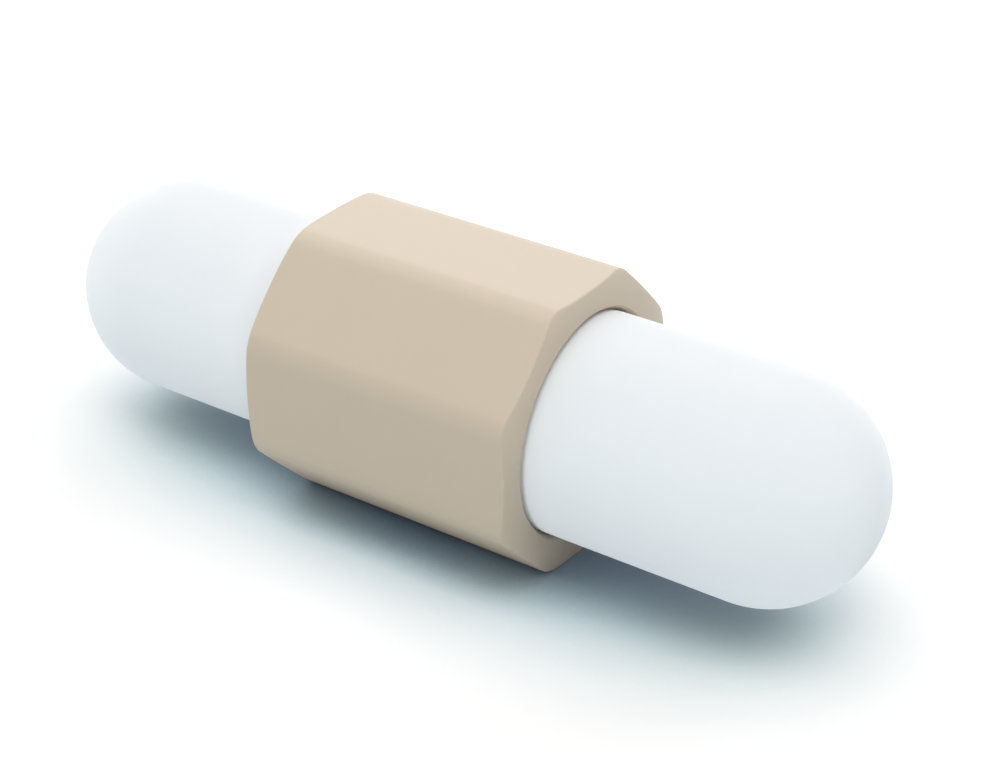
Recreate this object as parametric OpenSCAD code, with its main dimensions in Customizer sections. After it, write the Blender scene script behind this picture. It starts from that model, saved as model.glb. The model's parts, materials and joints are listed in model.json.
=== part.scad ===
// Magnetic stir bar: a coated bar magnet with an eight-sided collar round its middle.
// The bar lies along X. The collar rests on one flat, and the origin is the middle of that flat.

/* [Coated bar] */
// Length of the bar over its round ends
bar_length = 39; // [32:0.5:60]
// Diameter of the bar
bar_d = 9.5; // [8:0.1:12]

/* [Magnet] */
// Thickness of the casing beside the magnet
side_wall = 1.45; // [1:0.05:2.5]
// Thickness of the casing past each end of the magnet
end_wall = 3.5; // [2.5:0.1:6]
// Bevel round each end of the magnet
magnet_bevel = 0.4; // [0.1:0.1:0.8]
// Gap all round between the magnet and the casing
magnet_clearance = 0.05; // [0.02:0.01:0.2]

/* [Collar] */
// Length of the collar along the bar
collar_length = 13; // [6:0.5:24]
// Thickness of the collar at the middle of a flat
collar_wall = 1.3; // [1:0.05:3]
// Number of flats round the collar
flats = 8; // [6:2:12]
// Radius of the long rounded corners between the flats
corner_r = 1.2; // [0.3:0.05:2]
// Width of the soft turned rim at the middle of a flat
rim_width = 0.5; // [0.3:0.05:0.8]
// Radius of the curve that the end rims are turned to
rim_r = 2; // [1.5:0.1:4]
// Radius of the rounded mouth at each end of the bore
mouth_r = 0.35; // [0.1:0.05:0.6]
// Gap between the bar and the bore of the collar
bore_clearance = 0.03; // [0.01:0.01:0.1]

/* [Hidden] */
$fn = 96;
// How far a cutting shape runs past what it cuts
over = 1;
bar_r = bar_d / 2;
round_end_x = bar_length / 2 - bar_r;
cavity_r = bar_r - side_wall;
cavity_half = bar_length / 2 - end_wall;
magnet_r = cavity_r - magnet_clearance;
magnet_half = cavity_half - magnet_clearance;
bore_r = bar_r + bore_clearance;
collar_half = collar_length / 2;
// Distance from the axis to a flat, which is also the height of the axis over the floor
flat_r = bore_r + collar_wall;
// Distance from the axis to the centre of a rounded corner, and to the corner's outermost line
corner_centre_r = (flat_r - corner_r) / cos(180 / flats);
corner_tip_r = corner_centre_r + corner_r;
rim_start_r = flat_r - rim_width;

// Lays what is drawn round Z along the bar's axis, at its height over the floor
module on_bar_axis() {
    translate([0, 0, flat_r])
        rotate([0, 90, 0])
            children();
}

// A cylinder round Z with a bevel at both ends
module bevelled_rod(r, half, bevel) {
    cylinder(h = 2 * (half - bevel), r = r, center = true);
    for (side = [0, 1])
        mirror([0, 0, side])
            translate([0, 0, half - bevel])
                cylinder(h = bevel, r1 = r, r2 = r - bevel);
}

// The bar magnet that turns with the stirrer's own magnet
module magnet() {
    color("dimgray")
        on_bar_axis()
            bevelled_rod(magnet_r, magnet_half, magnet_bevel);
}

// The closed casing, with a half-ball at each end and a sealed space for the magnet
module casing() {
    color("white")
        on_bar_axis()
            difference() {
                union() {
                    cylinder(h = 2 * round_end_x, r = bar_r, center = true);
                    for (side = [-1, 1])
                        translate([0, 0, side * round_end_x])
                            sphere(r = bar_r);
                }
                bevelled_rod(cavity_r, cavity_half, magnet_bevel);
            }
}

// Section of the collar beside the axis: X is the radius and Y runs along the bar
module collar_section() {
    difference() {
        translate([bore_r, -collar_half])
            square([corner_tip_r + over - bore_r, collar_length]);
        for (side = [0, 1])
            mirror([0, side]) {
                rim_waste();
                mouth_waste();
            }
    }
}

// What the turned rim takes off the section at one end
module rim_waste() {
    translate([rim_start_r, collar_half - rim_r])
        difference() {
            square([corner_tip_r + 2 * over - rim_start_r, rim_r + over]);
            circle(r = rim_r);
        }
}

// What the rounded mouth of the bore takes off the section at one end
module mouth_waste() {
    translate([bore_r - over, collar_half - mouth_r])
        difference() {
            square([over + mouth_r, mouth_r + over]);
            translate([over + mouth_r, 0])
                circle(r = mouth_r);
        }
}

// Outline of the collar seen along the bar: flats joined by rounded corners
module collar_outline() {
    half_turn = 180 / flats;
    tangent_shift = corner_r * [cos(half_turn), sin(half_turn)];
    polygon([
        for (i = [0 : flats - 1], side = [-1, 1])
            let (turn = (i + 0.5) * 360 / flats)
            let (x = corner_centre_r + tangent_shift[0], y = side * tangent_shift[1])
            [x * cos(turn) - y * sin(turn), x * sin(turn) + y * cos(turn)]
    ]);
    for (i = [0 : flats - 1])
        rotate((i + 0.5) * 360 / flats)
            translate([corner_centre_r, 0])
                circle(r = corner_r);
}

// The eight-sided collar that the bar spins and rests on
module collar() {
    color("#c9b99d")
        on_bar_axis()
            intersection() {
                rotate_extrude()
                    collar_section();
                linear_extrude(height = collar_length + 2 * over, center = true)
                    collar_outline();
            }
}

magnet();
casing();
collar();
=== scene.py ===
"""Models a magnetic stir bar in its frame, dresses it and sets it on a pale studio floor."""

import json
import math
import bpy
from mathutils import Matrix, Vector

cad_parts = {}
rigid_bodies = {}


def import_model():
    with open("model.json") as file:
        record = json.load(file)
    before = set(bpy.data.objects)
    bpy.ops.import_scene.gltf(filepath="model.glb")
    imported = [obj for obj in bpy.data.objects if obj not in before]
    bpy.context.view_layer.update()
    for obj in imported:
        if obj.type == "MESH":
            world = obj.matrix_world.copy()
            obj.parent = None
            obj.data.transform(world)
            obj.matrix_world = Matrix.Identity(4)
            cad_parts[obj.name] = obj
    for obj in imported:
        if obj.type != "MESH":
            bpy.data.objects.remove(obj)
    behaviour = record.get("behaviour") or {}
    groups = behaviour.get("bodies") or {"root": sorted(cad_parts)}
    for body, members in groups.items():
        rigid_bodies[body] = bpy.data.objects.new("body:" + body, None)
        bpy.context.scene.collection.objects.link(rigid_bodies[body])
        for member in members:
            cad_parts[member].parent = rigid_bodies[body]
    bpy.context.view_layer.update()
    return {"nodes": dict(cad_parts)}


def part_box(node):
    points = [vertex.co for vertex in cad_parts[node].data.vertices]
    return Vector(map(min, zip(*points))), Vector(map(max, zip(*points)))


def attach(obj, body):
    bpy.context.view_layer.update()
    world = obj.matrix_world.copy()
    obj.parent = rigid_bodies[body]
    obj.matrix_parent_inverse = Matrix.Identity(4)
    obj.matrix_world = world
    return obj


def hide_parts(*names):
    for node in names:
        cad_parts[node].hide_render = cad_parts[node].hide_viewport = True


bl_info = {
    "name": "Magnetic Stir Bar",
    "version": (1, 0, 0),
    "blender": (4, 5, 0),
    "location": "View3D > Sidebar > Stir Bar",
    "description": "Models and dresses a magnetic stir bar with an eight-sided collar",
    "category": "Object",
}

import bmesh
import bpy
from bpy.props import FloatProperty, FloatVectorProperty, IntProperty, PointerProperty
from mathutils import Euler, Matrix, Vector

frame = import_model()

BODY = "root"
CASING_LOW, CASING_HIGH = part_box("casing")
COLLAR_LOW, COLLAR_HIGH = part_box("collar")
MAGNET_LOW, MAGNET_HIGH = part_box("magnet")
# The middle of the bar, on its axis, which the collar is centred on
MIDDLE = (COLLAR_LOW + COLLAR_HIGH) / 2
NEAR = 1e-6
# The floor lies this far under the collar's flat
FLOOR_GAP = 0.00001
# Flats round the collar, and the angle from the middle of a flat to its corner
FLATS = 8
HALF_FLAT = math.pi / FLATS
# Lamps: name, azimuth and elevation in degrees, distance, width, level, colour
LAMPS = (
    ("lamp_front_low", -90, 7, 0.8, 0.18, 0.189, (0.977, 1, 0.976)),
    ("lamp_front_right_low", -45, 7, 0.8, 0.18, 0.057, (0.89, 1, 0.953)),
    ("lamp_right_low", 0, 7, 0.8, 0.18, 0.076, (0.997, 1, 0.98)),
    ("lamp_back_right", 45, 25, 0.5, 0.36, 0.204, (0.991, 0.994, 1)),
    ("lamp_back_left", 135, 25, 0.5, 0.36, 0.236, (0.951, 0.958, 1)),
    ("lamp_back", 90, 40, 0.5, 0.45, 0.32, (0.987, 0.988, 1)),
    ("lamp_left", 180, 40, 0.5, 0.45, 0.161, (0.996, 1, 0.996)),
    ("lamp_front_high", -90, 65, 0.5, 0.45, 0.369, (0.999, 1, 0.989)),
    ("lamp_right_high", 0, 65, 0.5, 0.45, 0.3, (1, 0.994, 0.989)),
    ("lamp_left_high", 180, 65, 0.5, 0.45, 0.247, (1, 0.998, 0.995)),
)
# Painted shadow: colours that the camera sees the floor in, darker and bluer where the floor
# is less open to the light there:
# first under the bare ends of the bar, then under the collar
BAR_PAINTED_SHADOW = (
    (0.12, (0.484, 0.59, 0.652, 1)),
    (0.3, (0.518, 0.621, 0.613, 1)),
    (0.42, (0.655, 0.771, 0.766, 1)),
    (0.56, (0.828, 0.896, 0.886, 1)),
    (0.74, (0.964, 0.972, 0.962, 1)),
    (0.95, (1.075, 1.055, 1.05, 1)),
)
# Painted shadow under the collar
COLLAR_PAINTED_SHADOW = (
    (0.19, (0.177, 0.267, 0.404, 1)),
    (0.3, (0.463, 0.645, 0.798, 1)),
    (0.42, (0.752, 0.94, 1.03, 1)),
    (0.56, (0.945, 1.052, 1.121, 1)),
    (0.74, (1.17, 1.18, 1.215, 1)),
    (0.95, (1.075, 1.055, 1.05, 1)),
)


# ---------------------------------------------------------------- sizes and colours


class CasingSettings(bpy.types.PropertyGroup):
    """Sizes and finish of the white casing"""

    length: FloatProperty(
        name="Length",
        description="Length of the casing over its round ends",
        default=CASING_HIGH.x - CASING_LOW.x,
        unit="LENGTH",
        precision=5,
    )
    diameter: FloatProperty(
        name="Diameter",
        description="Diameter of the casing",
        default=CASING_HIGH.y - CASING_LOW.y,
        unit="LENGTH",
        precision=5,
    )
    sides: IntProperty(
        name="Sides",
        description="Faces round the casing, an even number",
        default=128,
        min=16,
    )
    spans: IntProperty(
        name="Spans",
        description="Rows of faces along each half of the straight part",
        default=8,
        min=1,
    )
    magnet_gap: FloatProperty(
        name="Magnet Gap",
        description="Gap between the magnet and the sealed space that holds it",
        default=0.00005,
        unit="LENGTH",
        precision=5,
    )
    space_bevel: FloatProperty(
        name="Space Bevel",
        description="Bevel round each end of the magnet's space",
        default=0.0004,
        unit="LENGTH",
        precision=5,
    )
    colour: FloatVectorProperty(
        name="Colour",
        description="Colour of the white casing",
        default=(0.907, 0.931, 0.955),
        subtype="COLOR",
        size=3,
        min=0,
        max=1,
    )


class CollarSettings(bpy.types.PropertyGroup):
    """Sizes and finish of the beige collar"""

    length: FloatProperty(
        name="Length",
        description="Length of the collar along the bar",
        default=COLLAR_HIGH.x - COLLAR_LOW.x,
        unit="LENGTH",
        precision=5,
    )
    flat_distance: FloatProperty(
        name="Flat Distance",
        description="Distance from the axis to each flat",
        default=(COLLAR_HIGH.y - COLLAR_LOW.y) / 2,
        unit="LENGTH",
        precision=5,
    )
    bore_radius: FloatProperty(
        name="Bore Radius",
        description="Radius of the bore that the bar passes through",
        default=0.00478,
        unit="LENGTH",
        precision=5,
    )
    corner_radius: FloatProperty(
        name="Corner Radius",
        description="Radius of the long rounded corners between the flats",
        default=0.0012,
        unit="LENGTH",
        precision=5,
    )
    rim_width: FloatProperty(
        name="Rim Width",
        description="Width of the soft turned rim at the middle of a flat",
        default=0.0005,
        unit="LENGTH",
        precision=5,
    )
    rim_radius: FloatProperty(
        name="Rim Radius",
        description="Radius of the curve that the end rims are turned to",
        default=0.002,
        unit="LENGTH",
        precision=5,
    )
    mouth_width: FloatProperty(
        name="Mouth Width",
        description="How much wider than the bore its flared mouths are, to each side",
        default=0.0002,
        unit="LENGTH",
        precision=5,
    )
    mouth_depth: FloatProperty(
        name="Mouth Depth",
        description="How far the flared mouths of the bore reach into the collar",
        default=0.00022,
        unit="LENGTH",
        precision=5,
    )
    mouth_round: FloatProperty(
        name="Mouth Round",
        description="Width of the fine round at the outer edge of the mouths",
        default=0.00004,
        unit="LENGTH",
        precision=5,
    )
    edge_round: FloatProperty(
        name="Edge Round",
        description="Width of the fine round where the rims meet the flats",
        default=0.00006,
        unit="LENGTH",
        precision=5,
    )
    corner_steps: IntProperty(
        name="Corner Steps",
        description="Faces round each long corner",
        default=6,
        min=1,
    )
    flat_cuts: IntProperty(
        name="Flat Cuts",
        description="Cuts across each flat's ends, which the turned rims follow",
        default=13,
        min=1,
    )
    rim_cuts: IntProperty(
        name="Rim Cuts",
        description="Rings cut into each turned rim",
        default=3,
        min=1,
    )
    colour: FloatVectorProperty(
        name="Colour",
        description="Colour of the beige collar",
        default=(0.588, 0.494, 0.381),
        subtype="COLOR",
        size=3,
        min=0,
        max=1,
    )


class StageSettings(bpy.types.PropertyGroup):
    """The camera, the floor and the light"""

    azimuth: FloatProperty(
        name="Azimuth",
        description="Direction that the camera stands in, round from the front",
        default=math.radians(34.29),
        subtype="ANGLE",
    )
    elevation: FloatProperty(
        name="Elevation",
        description="Height of the camera over the horizon",
        default=math.radians(30.21),
        subtype="ANGLE",
    )
    roll: FloatProperty(
        name="Roll",
        description="Turn of the camera about its own line of sight",
        default=math.radians(0.14),
        subtype="ANGLE",
    )
    distance: FloatProperty(
        name="Distance",
        description="Distance from the camera to the middle of the bar",
        default=0.09173,
        unit="LENGTH",
        precision=5,
    )
    slide_right: FloatProperty(
        name="Slide Right",
        description="How far the camera stands to the right of the middle of the bar",
        default=0.001764,
        unit="LENGTH",
        precision=5,
    )
    slide_up: FloatProperty(
        name="Slide Up",
        description="How far the camera stands above the middle of the bar",
        default=-0.000446,
        unit="LENGTH",
        precision=5,
    )
    lens: FloatProperty(
        name="Lens",
        description="Focal length of the camera",
        default=78.55,
        unit="CAMERA",
    )
    floor_size: FloatProperty(
        name="Floor Size",
        description="Length of each side of the floor",
        default=3.0,
        unit="LENGTH",
    )
    fade_start: FloatProperty(
        name="Fade Start",
        description="How far out the floor starts to fade into the white surroundings",
        default=0.1,
        unit="LENGTH",
    )
    fade_end: FloatProperty(
        name="Fade End",
        description="How far out the floor is as white as the surroundings",
        default=0.22,
        unit="LENGTH",
    )
    floor_colour: FloatVectorProperty(
        name="Floor Colour",
        description="Colour of the light that the floor throws back on the bar",
        default=(0.82, 0.88, 0.917),
        subtype="COLOR",
        size=3,
        min=0,
        max=1,
    )
    # Painted shade in the light that the floor throws back, where it is closed in
    shade_colour: FloatVectorProperty(
        name="Shade Colour",
        description="Colour of that light where the bar closes the floor in",
        default=(0.15, 0.19, 0.31),
        subtype="COLOR",
        size=3,
        min=0,
        max=1,
    )
    contact_reach: FloatProperty(
        name="Contact Reach",
        description="How far round the bar the floor is shaded by it",
        default=0.012,
        unit="LENGTH",
        precision=5,
    )
    collar_reach: FloatProperty(
        name="Collar Reach",
        description="How far along the bar the floor has the shade of the collar",
        default=0.016,
        unit="LENGTH",
        precision=5,
    )


# ---------------------------------------------------------------- modelling helpers


def deselect_all():
    """Leaves nothing selected in object mode."""
    for piece in bpy.context.view_layer.objects:
        piece.select_set(False)


def name_new_piece(name):
    """Names the primitive just added, and puts its place into its mesh."""
    piece = bpy.context.active_object
    piece.name = name
    piece.data.name = name
    bpy.ops.object.transform_apply(location=True, rotation=True, scale=True)
    return piece


def pick_vertices(piece, wanted):
    """Selects the vertices in edit mode that wanted(vertex) is true of, and what they span."""
    bpy.ops.mesh.select_all(action="DESELECT")
    bpy.ops.mesh.select_mode(type="VERT")
    mesh = bmesh.from_edit_mesh(piece.data)
    for vertex in mesh.verts:
        vertex.select = wanted(vertex)
    mesh.select_flush(True)
    bmesh.update_edit_mesh(piece.data)


def pick_edges(piece, wanted):
    """Selects the edges in edit mode that wanted(edge) is true of."""
    bpy.ops.mesh.select_all(action="DESELECT")
    bpy.ops.mesh.select_mode(type="EDGE")
    mesh = bmesh.from_edit_mesh(piece.data)
    for edge in mesh.edges:
        edge.select = wanted(edge)
    mesh.select_flush(False)
    bmesh.update_edit_mesh(piece.data)


def from_axis(point):
    """Distance of a point from the bar's axis."""
    return math.hypot(point.y - MIDDLE.y, point.z - MIDDLE.z)


def picked_radius(piece):
    """Mean distance of the selected vertices from the bar's axis."""
    mesh = bmesh.from_edit_mesh(piece.data)
    reach = [from_axis(vertex.co) for vertex in mesh.verts if vertex.select]
    return sum(reach) / len(reach)


def resize_picked(piece, radius):
    """Scales the selected ring about the axis, until it has that radius."""
    factor = radius / picked_radius(piece)
    bpy.ops.transform.resize(value=(1, factor, factor), center_override=MIDDLE)


def apply_modifier(piece, kind, **settings):
    """Adds a modifier with these settings and applies it."""
    modifier = piece.modifiers.new(kind.title(), kind)
    for setting, value in settings.items():
        setattr(modifier, setting, value)
    bpy.ops.object.modifier_apply(modifier=modifier.name)


def finish_piece(piece, node, material):
    """Gives a finished piece its material in a slot and its body, and hides the node that it
    stands for.
    """
    piece.data.materials.clear()
    piece.data.materials.append(material)
    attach(piece, BODY)
    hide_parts(node)
    piece.select_set(False)


# ---------------------------------------------------------------- materials


class Value:
    """A value in a material: arithmetic on it adds Math nodes."""

    def __init__(self, tree, socket=None):
        self.tree = tree
        self.socket = socket

    def node(self, kind, settings=None, values=None, output=0):
        """Adds a node: first its settings, then the values or links of its sockets."""
        made = self.tree.nodes.new(kind)
        for name, setting in (settings or {}).items():
            if name == "stops":
                stops = made.color_ramp.elements
                stops[0].position, stops[0].color = setting[0]
                stops[1].position, stops[1].color = setting[-1]
                for position, colour in setting[1:-1]:
                    stops.new(position).color = colour
            else:
                setattr(made, name, setting)
        for name, value in (values or {}).items():
            if isinstance(value, Value):
                self.tree.links.new(value.socket, made.inputs[name])
            else:
                made.inputs[name].default_value = value
        return Value(self.tree, made.outputs[output] if made.outputs else None)

    def math(self, operation, first, second):
        """A Math node on two values."""
        return self.node("ShaderNodeMath", {"operation": operation}, {0: first, 1: second})

    def __add__(self, other):
        return self.math("ADD", self, other)

    def __sub__(self, other):
        return self.math("SUBTRACT", self, other)

    def __rsub__(self, other):
        return self.math("SUBTRACT", other, self)

    def __mul__(self, other):
        return self.math("MULTIPLY", self, other)

    __radd__ = __add__
    __rmul__ = __mul__


def new_material(name):
    """An empty material, and a Value to build it with."""
    material = bpy.data.materials.new(name)
    material.use_nodes = True
    material.node_tree.nodes.clear()
    return material, Value(material.node_tree)


def tint(colour, factor):
    """A colour made lighter or darker, as a shader takes it."""
    return (*[min(1, part * factor) for part in colour], 1)


def mottle(make, place, scale, detail=2):
    """Soft noise from 0 to 1 in the piece's own space."""
    return make.node(
        "ShaderNodeTexNoise",
        values={"Vector": place, "Scale": scale, "Detail": detail, "Roughness": 0.5},
    )


def blend_colours(make, factor, first, second):
    """A colour between two, by a factor."""
    return make.node(
        "ShaderNodeMix",
        {"data_type": "RGBA"},
        {0: factor, 6: first, 7: second},
        output=2,
    )


def smooth_change(make, value, start, end, first, last):
    """Goes smoothly from the first number to the last while a value goes from start to end."""
    return make.node(
        "ShaderNodeMapRange",
        {"interpolation_type": "SMOOTHSTEP"},
        {"Value": value, 1: start, 2: end, 3: first, 4: last},
    )


def fine_relief(make, strength, height):
    """Bump a hundredth of a millimetre deep."""
    return make.node(
        "ShaderNodeBump", values={"Strength": strength, "Distance": 0.00001, "Height": height}
    )


def casing_material(colour):
    """White PTFE: waxy, smooth and slightly cloudy, and evenly bright right to its edges."""
    material, make = new_material("casing_ptfe")
    place = make.node("ShaderNodeTexCoord", output="Object")
    cloud = mottle(make, place, 260)
    grain = mottle(make, place, 9000, detail=4)
    surface = make.node(
        "ShaderNodeBsdfPrincipled",
        values={
            "Base Color": blend_colours(make, cloud, tint(colour, 0.99), tint(colour, 1.01)),
            "Roughness": 0.6 + cloud * 0.08,
            "Diffuse Roughness": 1.0,
            "IOR": 1.36,
            "Normal": fine_relief(make, 0.06, grain),
        },
    )
    make.node("ShaderNodeOutputMaterial", values={"Surface": surface})
    return material


def collar_material(colour):
    """Beige engineering plastic: smooth and matt, with a fine moulded skin."""
    material, make = new_material("collar_plastic")
    place = make.node("ShaderNodeTexCoord", output="Object")
    cloud = mottle(make, place, 340)
    skin = mottle(make, place, 7000, detail=4)
    surface = make.node(
        "ShaderNodeBsdfPrincipled",
        values={
            "Base Color": blend_colours(make, cloud, tint(colour, 0.985), tint(colour, 1.015)),
            "Roughness": 0.46 + cloud * 0.08,
            "IOR": 1.57,
            "Normal": fine_relief(make, 0.08, skin),
        },
    )
    make.node("ShaderNodeOutputMaterial", values={"Surface": surface})
    return material


def magnet_material():
    """Ground magnet alloy: dark grey metal with fine marks round it."""
    material, make = new_material("ground_magnet")
    place = make.node("ShaderNodeTexCoord", output="Object")
    stretched = make.node(
        "ShaderNodeMapping", values={"Vector": place, "Scale": (6000, 200, 200)}
    )
    marks = mottle(make, stretched, 1, detail=3)
    surface = make.node(
        "ShaderNodeBsdfPrincipled",
        values={
            "Base Color": blend_colours(make, marks, (0.2, 0.2, 0.21, 1), (0.3, 0.3, 0.31, 1)),
            "Metallic": 1.0,
            "Roughness": 0.3 + marks * 0.2,
            "Normal": fine_relief(make, 0.3, marks),
        },
    )
    make.node("ShaderNodeOutputMaterial", values={"Surface": surface})
    return material


def floor_material(size):
    """Pale paper with a painted shadow: the camera sees it darker and bluer where it is closed
    in round the bar, fading out into plain white.
    """
    material, make = new_material("floor_paper")
    openness = make.node(
        "ShaderNodeAmbientOcclusion",
        {"samples": 16},
        {"Distance": size.contact_reach},
        output="AO",
    )
    place = make.node("ShaderNodeTexCoord", output="Object")
    along = make.node("ShaderNodeSeparateXYZ", values={0: place}, output="X")
    collar_shadow_zone = smooth_change(
        make, make.math("ABSOLUTE", along, 0), 0, size.collar_reach, 1, 0
    )
    # Painted shadow: the floor's colour follows how open it is, with the collar's own ramp
    # near the collar
    seen = blend_colours(
        make,
        collar_shadow_zone,
        make.node("ShaderNodeValToRGB", {"stops": BAR_PAINTED_SHADOW}, {"Fac": openness}),
        make.node("ShaderNodeValToRGB", {"stops": COLLAR_PAINTED_SHADOW}, {"Fac": openness}),
    )
    from_middle = make.node(
        "ShaderNodeVectorMath", {"operation": "LENGTH"}, {0: place}, output="Value"
    )
    far_out = smooth_change(make, from_middle, size.fade_start, size.fade_end, 0, 1)
    shown = make.node(
        "ShaderNodeMixShader",
        values={
            0: far_out,
            1: make.node("ShaderNodeBsdfDiffuse", values={"Color": seen}),
            2: make.node("ShaderNodeEmission", values={"Color": (1, 1, 1, 1)}),
        },
    )
    # Painted shade: the colour in which the floor throws light back grows darker and bluer,
    # towards the shade colour, where the floor is closed in round the bar
    closed = 1 - openness
    thrown_with_painted_shade = blend_colours(
        make, closed * closed, tint(size.floor_colour, 1), tint(size.shade_colour, 1)
    )
    surface = make.node(
        "ShaderNodeMixShader",
        values={
            0: make.node("ShaderNodeLightPath", output="Is Camera Ray"),
            1: make.node("ShaderNodeBsdfDiffuse", values={"Color": thrown_with_painted_shade}),
            2: shown,
        },
    )
    make.node("ShaderNodeOutputMaterial", values={"Surface": surface})
    return material


# ---------------------------------------------------------------- pieces


class STIRBAR_OT_magnet(bpy.types.Operator):
    """Dress the magnet that is sealed in the casing"""

    bl_idname = "stirbar.magnet"
    bl_label = "Dress Magnet"

    def execute(self, context):
        magnet = frame["nodes"]["magnet"]
        material = magnet_material()
        for slot in magnet.material_slots:
            slot.material = material
        return {"FINISHED"}


class STIRBAR_OT_casing(bpy.types.Operator):
    """Model the white casing: a half-ball drawn out into half the bar, then mirrored"""

    bl_idname = "stirbar.casing"
    bl_label = "Model Casing"

    def execute(self, context):
        size = context.scene.casing
        radius = size.diameter / 2
        ball_x = MIDDLE.x + size.length / 2 - radius
        deselect_all()
        bpy.ops.mesh.primitive_uv_sphere_add(
            segments=size.sides,
            ring_count=size.sides // 2,
            radius=radius,
            location=(ball_x, MIDDLE.y, MIDDLE.z),
            rotation=(0, math.pi / 2, 0),
        )
        casing = name_new_piece("bar_casing")
        bpy.ops.object.mode_set(mode="EDIT")
        pick_vertices(casing, lambda vertex: vertex.co.x < ball_x - NEAR)
        bpy.ops.mesh.delete(type="VERT")
        pick_vertices(casing, lambda vertex: vertex.co.x < ball_x + NEAR)
        for _ in range(size.spans):
            bpy.ops.mesh.extrude_region_move(
                TRANSFORM_OT_translate={"value": ((MIDDLE.x - ball_x) / size.spans, 0, 0)}
            )
        bpy.ops.object.mode_set(mode="OBJECT")
        apply_modifier(casing, "MIRROR", use_axis=(True, False, False), merge_threshold=NEAR)
        bpy.ops.object.mode_set(mode="EDIT")
        bpy.ops.mesh.select_all(action="SELECT")
        bpy.ops.mesh.normals_make_consistent(inside=False)
        self.add_magnet_space(casing, size)
        bpy.ops.object.mode_set(mode="OBJECT")
        bpy.ops.object.shade_smooth_by_angle(angle=math.radians(30))
        finish_piece(casing, "casing", casing_material(size.colour))
        return {"FINISHED"}

    def add_magnet_space(self, casing, size):
        """Adds the inner wall, which faces the sealed space that holds the magnet."""
        radius = (MAGNET_HIGH.y - MAGNET_LOW.y) / 2 + size.magnet_gap
        half = (MAGNET_HIGH.x - MAGNET_LOW.x) / 2 + size.magnet_gap
        straight = half - size.space_bevel
        bpy.ops.mesh.select_all(action="DESELECT")
        bpy.ops.mesh.primitive_cylinder_add(
            vertices=size.sides,
            radius=radius,
            depth=2 * straight,
            location=MIDDLE,
            rotation=(0, math.pi / 2, 0),
        )

        def is_inside(vertex):
            reach = abs(vertex.co.x - MIDDLE.x)
            return reach < half + NEAR and from_axis(vertex.co) < radius + NEAR

        for side in (-1, 1):
            pick_vertices(
                casing, lambda v: is_inside(v) and side * (v.co.x - MIDDLE.x) > straight - NEAR
            )
            bpy.ops.mesh.extrude_region_move(
                TRANSFORM_OT_translate={"value": (side * size.space_bevel, 0, 0)}
            )
            resize_picked(casing, radius - size.space_bevel)
        pick_vertices(casing, is_inside)
        bpy.ops.mesh.flip_normals()


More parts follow.
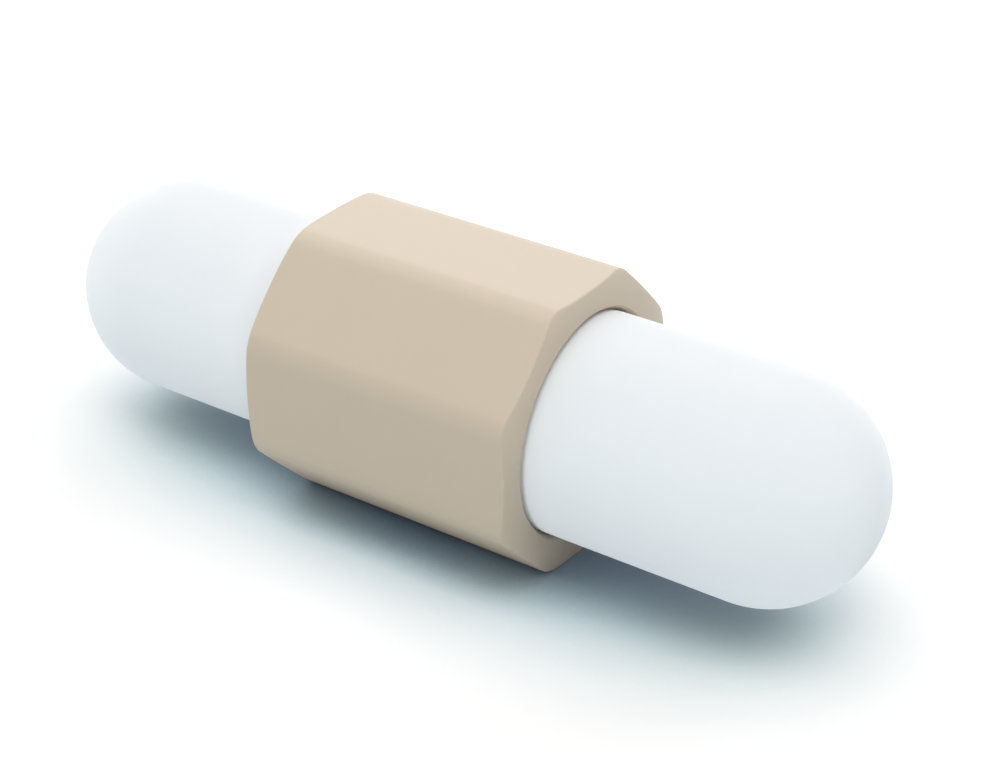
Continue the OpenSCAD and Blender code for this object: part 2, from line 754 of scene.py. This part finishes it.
class STIRBAR_OT_collar(bpy.types.Operator):
    """Model the beige collar: an eight-sided tube with turned rims and flared bore mouths"""

    bl_idname = "stirbar.collar"
    bl_label = "Model Collar"

    def execute(self, context):
        size = context.scene.collar
        deselect_all()
        bpy.ops.mesh.primitive_cylinder_add(
            vertices=FLATS,
            radius=size.flat_distance / math.cos(HALF_FLAT),
            depth=size.length,
            end_fill_type="NOTHING",
            location=MIDDLE,
            rotation=(0, math.pi / 2, 0),
        )
        collar = name_new_piece("octagonal_collar")
        bpy.ops.object.mode_set(mode="EDIT")
        self.round_corners(collar, size)
        for side in (-1, 1):
            self.close_end(collar, size, side)
        self.join_bore(collar, size)
        bpy.ops.object.mode_set(mode="OBJECT")
        self.turn_rims(collar, size)
        bpy.ops.object.mode_set(mode="EDIT")
        self.round_edges(collar, size)
        bpy.ops.mesh.select_all(action="SELECT")
        bpy.ops.mesh.normals_make_consistent(inside=False)
        bpy.ops.object.mode_set(mode="OBJECT")
        bpy.ops.object.shade_smooth()
        apply_modifier(collar, "WEIGHTED_NORMAL", keep_sharp=True)
        finish_piece(collar, "collar", collar_material(size.colour))
        return {"FINISHED"}

    def round_corners(self, collar, size):
        """Turns a flat to the floor, rounds the long corners and divides the flats' ends."""
        bpy.ops.mesh.select_all(action="SELECT")
        bpy.ops.transform.rotate(value=HALF_FLAT, orient_axis="X", center_override=MIDDLE)
        pick_edges(collar, lambda edge: abs(edge.verts[0].co.x - edge.verts[1].co.x) > NEAR)
        bpy.ops.mesh.bevel(
            offset=size.corner_radius * math.tan(HALF_FLAT),
            segments=size.corner_steps,
            profile=0.5,
            affect="EDGES",
            clamp_overlap=False,
        )
        flat_width = 2 * size.flat_distance * math.tan(HALF_FLAT)
        pick_edges(collar, lambda edge: flat_width / 2 < edge.calc_length() < flat_width)
        bpy.ops.mesh.subdivide(number_cuts=size.flat_cuts)

    def close_end(self, collar, size, side):
        """Draws one end in: from the outline to a circle, and on to the mouth and the bore."""
        end_x = MIDDLE.x + side * size.length / 2
        pick_vertices(collar, lambda vertex: abs(vertex.co.x - end_x) < NEAR)
        bpy.ops.mesh.extrude_region_move()
        bpy.ops.transform.tosphere(value=1)
        resize_picked(collar, size.flat_distance - size.rim_width)
        bpy.ops.mesh.extrude_region_move()
        resize_picked(collar, size.bore_radius + size.mouth_width)
        bpy.ops.mesh.extrude_region_move(
            TRANSFORM_OT_translate={"value": (-side * size.mouth_depth, 0, 0)}
        )
        resize_picked(collar, size.bore_radius)

    def join_bore(self, collar, size):
        """Joins the two inner rings into the bore, and cuts rings into the rims."""
        pick_vertices(collar, lambda vertex: from_axis(vertex.co) < size.bore_radius + NEAR)
        bpy.ops.mesh.bridge_edge_loops()
        rim_start = size.flat_distance - size.rim_width

        def crosses_rim(edge):
            reach = sorted(from_axis(vertex.co) for vertex in edge.verts)
            return abs(reach[0] - rim_start) < NEAR and reach[1] > rim_start + NEAR

        pick_edges(collar, crosses_rim)
        bpy.ops.mesh.subdivide(number_cuts=size.rim_cuts)

    def turn_rims(self, collar, size):
        """Draws the end rims down onto a ring that has the turned curve."""
        rim_start = size.flat_distance - size.rim_width
        rim = collar.vertex_groups.new(name="rim")
        rim.add(
            [v.index for v in collar.data.vertices if from_axis(v.co) > rim_start + NEAR],
            1.0,
            "REPLACE",
        )
        tools = []
        for side in (-1, 1):
            deselect_all()
            bpy.ops.mesh.primitive_torus_add(
                major_radius=rim_start,
                minor_radius=size.rim_radius,
                major_segments=320,
                minor_segments=256,
                location=(
                    MIDDLE.x + side * (size.length / 2 - size.rim_radius),
                    MIDDLE.y,
                    MIDDLE.z,
                ),
                rotation=(0, math.pi / 2, 0),
            )
            tools.append(name_new_piece("rim_tool"))
        deselect_all()
        bpy.context.view_layer.objects.active = tools[0]
        for tool in tools:
            tool.select_set(True)
        bpy.ops.object.join()
        tool = bpy.context.active_object
        deselect_all()
        collar.select_set(True)
        bpy.context.view_layer.objects.active = collar
        apply_modifier(
            collar,
            "SHRINKWRAP",
            target=tool,
            wrap_method="PROJECT",
            use_project_x=True,
            use_negative_direction=True,
            use_positive_direction=True,
            vertex_group="rim",
        )
        collar.vertex_groups.clear()
        bpy.data.objects.remove(tool)

    def round_edges(self, collar, size):
        """Puts the fine rounds on the rims' outer edges and on the mouths of the bore."""
        rim_start = size.flat_distance - size.rim_width
        mouth = size.bore_radius + size.mouth_width

        def is_sharp(edge):
            return len(edge.link_faces) == 2 and edge.calc_face_angle() >= math.radians(40)

        def is_outer_edge(edge):
            return is_sharp(edge) and from_axis(edge.verts[0].co) > rim_start

        def is_mouth(edge):
            return is_sharp(edge) and abs(from_axis(edge.verts[0].co) - mouth) < NEAR

        pick_edges(collar, is_outer_edge)
        bpy.ops.mesh.bevel(
            offset=size.edge_round, segments=4, profile=0.5, affect="EDGES"
        )
        pick_edges(collar, is_mouth)
        bpy.ops.mesh.bevel(
            offset=size.mouth_round, segments=3, profile=0.5, affect="EDGES"
        )


# ---------------------------------------------------------------- stage


class STIRBAR_OT_stage(bpy.types.Operator):
    """Set the floor, the light and the camera"""

    bl_idname = "stirbar.stage"
    bl_label = "Set Stage"

    def execute(self, context):
        size = context.scene.stage
        self.add_floor(size)
        self.add_surroundings(context.scene)
        self.add_lamps()
        self.add_camera(context.scene, size)
        context.scene.view_settings.view_transform = "Standard"
        return {"FINISHED"}

    def add_floor(self, size):
        """A wide pale floor just under the collar, with a painted soft shadow close round the
        bar.
        """
        deselect_all()
        bpy.ops.mesh.primitive_plane_add(size=size.floor_size, location=(0, 0, -FLOOR_GAP))
        floor = bpy.context.active_object
        floor.name = "floor"
        floor.data.materials.append(floor_material(size))

    def add_surroundings(self, scene):
        """Surroundings that are white to the camera and in reflections, and give no light."""
        world = bpy.data.worlds.new("studio")
        world.use_nodes = True
        world.node_tree.nodes.clear()
        scene.world = world
        make = Value(world.node_tree)
        seen = make.node("ShaderNodeLightPath", output="Is Camera Ray")
        for ray in ("Is Glossy Ray", "Is Transmission Ray"):
            seen = make.math("MAXIMUM", seen, make.node("ShaderNodeLightPath", output=ray))
        black, white = (
            make.node("ShaderNodeBackground", values={"Color": (grey, grey, grey, 1)})
            for grey in (0, 1)
        )
        surface = make.node("ShaderNodeMixShader", values={0: seen, 1: black, 2: white})
        make.node("ShaderNodeOutputWorld", values={"Surface": surface})

    def add_lamps(self):
        """Wide soft lamps in a ring round the bar."""
        for name, azimuth, elevation, distance, width, level, colour in LAMPS:
            deselect_all()
            away = Euler((0, -math.radians(elevation), math.radians(azimuth))).to_matrix()
            away = away @ Vector((1, 0, 0))
            bpy.ops.object.light_add(type="AREA", location=MIDDLE + distance * away)
            lamp = bpy.context.active_object
            lamp.name = name
            lamp.data.size = width
            lamp.data.color = colour
            # At this power a white face turned to the lamp shows at that level
            lamp.data.energy = level * (math.pi * distance) ** 2
            lamp.rotation_euler = away.to_track_quat("Z", "Y").to_euler()

    def add_camera(self, scene, size):
        """The camera, which looks down at the bar from the front and right."""
        turn = Euler((math.pi / 2 - size.elevation, 0, size.azimuth)).to_matrix()
        turn = turn @ Matrix.Rotation(size.roll, 3, "Z")
        offset = Vector((size.slide_right, size.slide_up, size.distance))
        camera_data = bpy.data.cameras.new("camera")
        camera_data.lens = size.lens
        camera_data.sensor_width = 36
        camera_data.clip_start = 0.005
        camera_data.clip_end = 10
        camera = bpy.data.objects.new("camera", camera_data)
        scene.collection.objects.link(camera)
        camera.location = MIDDLE + turn @ offset
        camera.rotation_euler = turn.to_euler()
        scene.camera = camera


class STIRBAR_PT_panel(bpy.types.Panel):
    """Sizes, colours and steps of the stir bar"""

    bl_idname = "STIRBAR_PT_panel"
    bl_label = "Magnetic Stir Bar"
    bl_space_type = "VIEW_3D"
    bl_region_type = "UI"
    bl_category = "Stir Bar"

    def draw(self, context):
        for group_name, operator in (
            ("", STIRBAR_OT_magnet),
            ("casing", STIRBAR_OT_casing),
            ("collar", STIRBAR_OT_collar),
            ("stage", STIRBAR_OT_stage),
        ):
            box = self.layout.box()
            if group_name:
                group = getattr(context.scene, group_name)
                for name in type(group).__annotations__:
                    box.prop(group, name)
            box.operator(operator.bl_idname)


SETTINGS = {
    "casing": CasingSettings,
    "collar": CollarSettings,
    "stage": StageSettings,
}
CLASSES = (
    *SETTINGS.values(),
    STIRBAR_OT_magnet,
    STIRBAR_OT_casing,
    STIRBAR_OT_collar,
    STIRBAR_OT_stage,
    STIRBAR_PT_panel,
)


def register():
    for made in CLASSES:
        bpy.utils.register_class(made)
    for name, group in SETTINGS.items():
        setattr(bpy.types.Scene, name, PointerProperty(type=group))


def unregister():
    for name in SETTINGS:
        delattr(bpy.types.Scene, name)
    for made in reversed(CLASSES):
        bpy.utils.unregister_class(made)


def main():
    register()
    bpy.ops.stirbar.magnet()
    bpy.ops.stirbar.casing()
    bpy.ops.stirbar.collar()
    bpy.ops.stirbar.stage()


if __name__ == "__main__":
    main()
